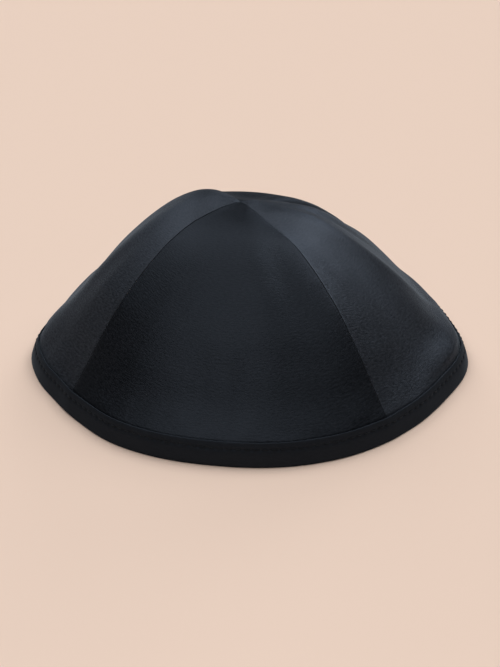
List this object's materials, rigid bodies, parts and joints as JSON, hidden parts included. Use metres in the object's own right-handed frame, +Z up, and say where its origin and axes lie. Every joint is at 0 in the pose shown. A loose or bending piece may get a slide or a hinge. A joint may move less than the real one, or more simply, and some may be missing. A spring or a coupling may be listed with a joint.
{
  "type": "kippah skullcap",
  "caption": "Small round skullcap of dark cloth gores with a bound rim, open below for a head.",
  "frame": {"origin": "on the surface the cap stands on, below the middle of its outline", "axes": "+Z up through the crown, -Y towards the front gore, +X towards the right gore as seen from the front"},
  "size_m": [0.1754, 0.173, 0.0663],
  "materials": {
    "panel_cloth": "fine smooth weave with a soft satin sheen",
    "band_cloth": "matte binding cut on the bias"
  },
  "bodies": {
    "root": {"panel_front": "panel_cloth", "panel_right": "panel_cloth", "panel_back": "panel_cloth", "panel_left": "panel_cloth", "rim_band": "band_cloth"}
  },
  "joints": []
}
